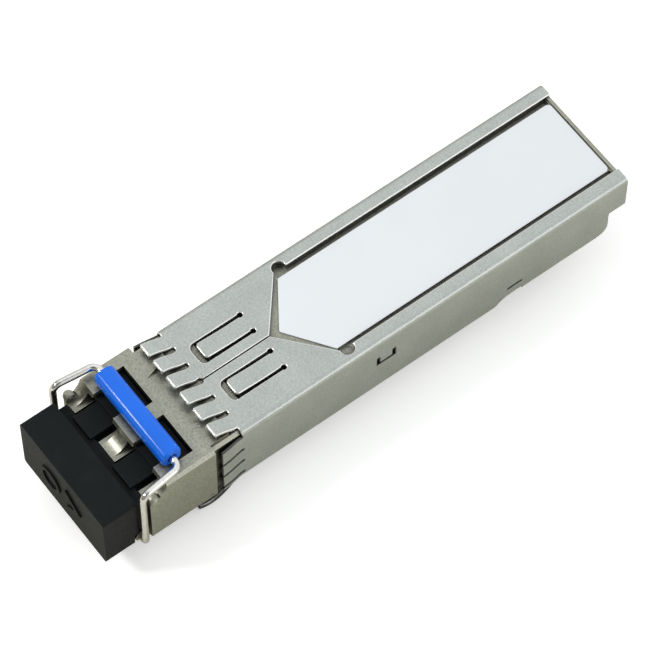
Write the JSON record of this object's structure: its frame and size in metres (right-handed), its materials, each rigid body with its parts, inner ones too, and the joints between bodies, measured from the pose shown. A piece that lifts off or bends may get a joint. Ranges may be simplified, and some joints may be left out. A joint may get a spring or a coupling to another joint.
{
  "type": "pluggable optical transceiver module",
  "caption": "Small pluggable optical transceiver with a duplex fibre receptacle, sprung metal shell, pull bail, latch boss and rubber dust plug.",
  "frame": {"origin": "middle of the latch boss's front shoulder, at the height of the shell's underside, on the module's centre line", "axes": "+X across the module, +Y towards the card edge at the tail, +Z towards the label side"},
  "size_m": [0.0148, 0.0607, 0.0128],
  "materials": {
    "die_casting": "satin nickel plating on a zinc die casting",
    "sheet_steel": "satin rolled stainless sheet",
    "spring_wire": "polished spring steel",
    "grip_plastic": "moulded, slightly glossy",
    "plug_rubber": "matt moulded rubber",
    "label_film": "blank white film",
    "board_laminate": "solder mask on glass-epoxy laminate",
    "gold_plating": "gold plated",
    "chip_epoxy": "moulded epoxy",
    "chip_ceramic": "ceramic chip parts with tinned ends",
    "ferrule_ceramic": "ground zirconia",
    "turned_steel": "turned stainless steel",
    "polyimide": "amber flexible circuit",
    "clamp_plastic": "moulded"
  },
  "bodies": {
    "module": {"nose_housing": "die_casting", "cover_housing": "die_casting", "base_tray": "die_casting", "shell": "sheet_steel", "label": "label_film", "lever_pin": "turned_steel", "latch_spring": "spring_wire", "circuit_board": "board_laminate", "edge_contacts_top": "gold_plating", "edge_contacts_bottom": "gold_plating", "laser_driver": "chip_epoxy", "limiting_amplifier": "chip_epoxy", "controller_chip": "chip_epoxy", "memory_chip": "chip_epoxy", "supply_beads": "chip_epoxy", "board_passives": "chip_ceramic", "optics_clamp": "clamp_plastic", "tosa_barrel": "turned_steel", "tosa_sleeve": "ferrule_ceramic", "tosa_stub": "ferrule_ceramic", "tosa_body": "turned_steel", "tosa_can": "gold_plating", "tosa_flex": "polyimide", "rosa_barrel": "turned_steel", "rosa_sleeve": "ferrule_ceramic", "rosa_stub": "ferrule_ceramic", "rosa_body": "turned_steel", "rosa_can": "gold_plating", "rosa_flex": "polyimide"},
    "bail": {"bail_wire": "spring_wire", "bail_sleeve": "grip_plastic"},
    "latch": {"latch_lever": "turned_steel"},
    "plug": {"dust_plug": "plug_rubber"}
  },
  "joints": [
    {"name": "bail_swing", "type": "hinge", "parent": "module", "child": "bail", "pos_m": [0, -0.01135, 0.0008], "axis": [1, 0, 0], "range_deg": [0, 90]},
    {"name": "latch_rock", "type": "hinge", "parent": "module", "child": "latch", "pos_m": [0, -0.0054, 0.00062], "axis": [1, 0, 0], "range_deg": [0, 5.4], "deforming": ["latch_spring"]},
    {"name": "plug_pull", "type": "slide", "parent": "module", "child": "plug", "axis": [0, -1, 0], "range_m": [0, 0.02]}
  ],
  "couplings": [
    {"joint": "latch_rock", "follows": "bail_swing", "ratio": 0.06}
  ]
}
